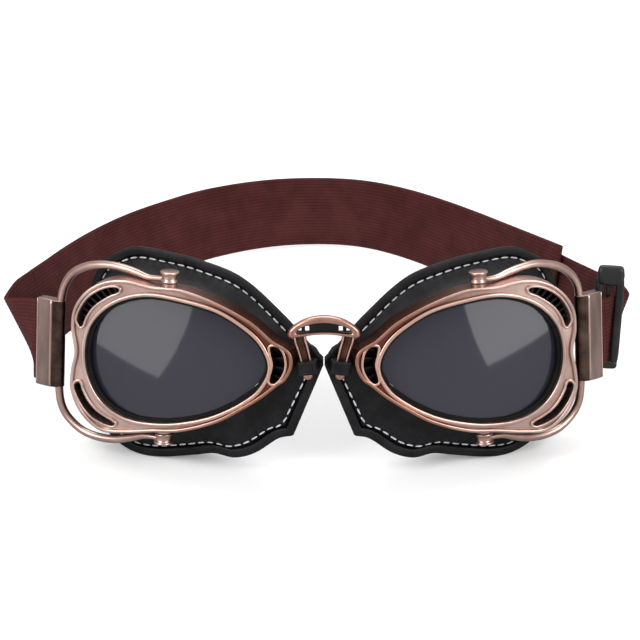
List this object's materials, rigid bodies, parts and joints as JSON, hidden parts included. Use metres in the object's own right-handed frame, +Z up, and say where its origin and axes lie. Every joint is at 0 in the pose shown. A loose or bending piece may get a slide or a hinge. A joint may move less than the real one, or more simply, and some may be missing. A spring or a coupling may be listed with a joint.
{
  "type": "goggles",
  "caption": "Flying goggles: vented metal frames on padded leather cups, wire yokes that swing, a slotted nose bridge, an elastic strap and its slider.",
  "frame": {"origin": "centre of the bounding box, on the table the goggles stand on", "axes": "+Z up, the lenses look along -Y, +X towards the wearer's left, which is the right side of the picture"},
  "size_m": [0.2502, 0.2088, 0.0844],
  "materials": {
    "cast_copper": "cast, plated in antique copper, with bright worn rims",
    "copper_turned": "turned, antique copper",
    "copper_wire": "drawn wire, antique copper",
    "worn_plate": "brushed, dull brown with worn coppery edges",
    "smoked_lens": "smooth, smoke tinted",
    "black_rubber": "matt black",
    "black_plastic": "satin black",
    "black_leather": "fine-grained black leather, sewn with white thread",
    "elastic_web": "ribbed maroon elastic webbing",
    "black_metal": "satin black"
  },
  "bodies": {
    "bridge_and_strap": {"nose_bridge": "cast_copper", "nose_bridge_grille": "black_plastic", "head_strap": "elastic_web", "adjuster_strap": "elastic_web"},
    "left_cup": {"left_front_frame": "cast_copper", "left_lens": "smoked_lens", "left_lens_gasket": "black_rubber", "left_upper_vent_grille": "black_plastic", "left_lower_vent_grille": "black_plastic", "left_nose_vent_grille": "black_plastic", "left_eyecup_shell": "black_plastic", "left_leather_skirt": "black_leather", "left_rolled_edge": "black_leather", "left_face_cushion": "black_leather", "left_bridge_keeper": "black_leather"},
    "left_yoke": {"left_upper_post": "copper_turned", "left_lower_post": "copper_turned", "left_yoke_wire": "copper_wire", "left_strap_plate": "worn_plate"},
    "right_cup": {"right_front_frame": "cast_copper", "right_lens": "smoked_lens", "right_lens_gasket": "black_rubber", "right_upper_vent_grille": "black_plastic", "right_lower_vent_grille": "black_plastic", "right_nose_vent_grille": "black_plastic", "right_eyecup_shell": "black_plastic", "right_leather_skirt": "black_leather", "right_rolled_edge": "black_leather", "right_face_cushion": "black_leather", "right_bridge_keeper": "black_leather"},
    "right_yoke": {"right_upper_post": "copper_turned", "right_lower_post": "copper_turned", "right_yoke_wire": "copper_wire", "right_strap_plate": "worn_plate"},
    "slider": {"strap_slider": "black_metal"}
  },
  "joints": [
    {"name": "left_cup_swing", "type": "hinge", "parent": "bridge_and_strap", "child": "left_cup", "pos_m": [-0.00666, -0.10078, 0.05223], "axis": [-0.1724, 0.2383, 0.9558], "range_deg": [0, 12], "deforming": ["head_strap", "adjuster_strap"]},
    {"name": "right_cup_swing", "type": "hinge", "parent": "bridge_and_strap", "child": "right_cup", "pos_m": [0.00666, -0.10078, 0.05223], "axis": [0.1724, 0.2383, 0.9558], "range_deg": [-12, 0], "deforming": ["head_strap", "adjuster_strap"]},
    {"name": "left_yoke_swing", "type": "hinge", "parent": "left_cup", "child": "left_yoke", "pos_m": [-0.06089, -0.0887, 0.04643], "axis": [0.0592, 0.2271, 0.9721], "range_deg": [-8, 35], "deforming": ["head_strap", "adjuster_strap"]},
    {"name": "right_yoke_swing", "type": "hinge", "parent": "right_cup", "child": "right_yoke", "pos_m": [0.06089, -0.0887, 0.04643], "axis": [-0.0592, 0.2271, 0.9721], "range_deg": [-41, 2], "deforming": ["head_strap", "adjuster_strap"]},
    {"name": "slider_travel", "type": "slide", "parent": "right_yoke", "child": "slider", "axis": [0.8554, 0.5134, -0.0678], "range_m": [0, 0.006], "deforming": ["head_strap", "adjuster_strap"]}
  ]
}
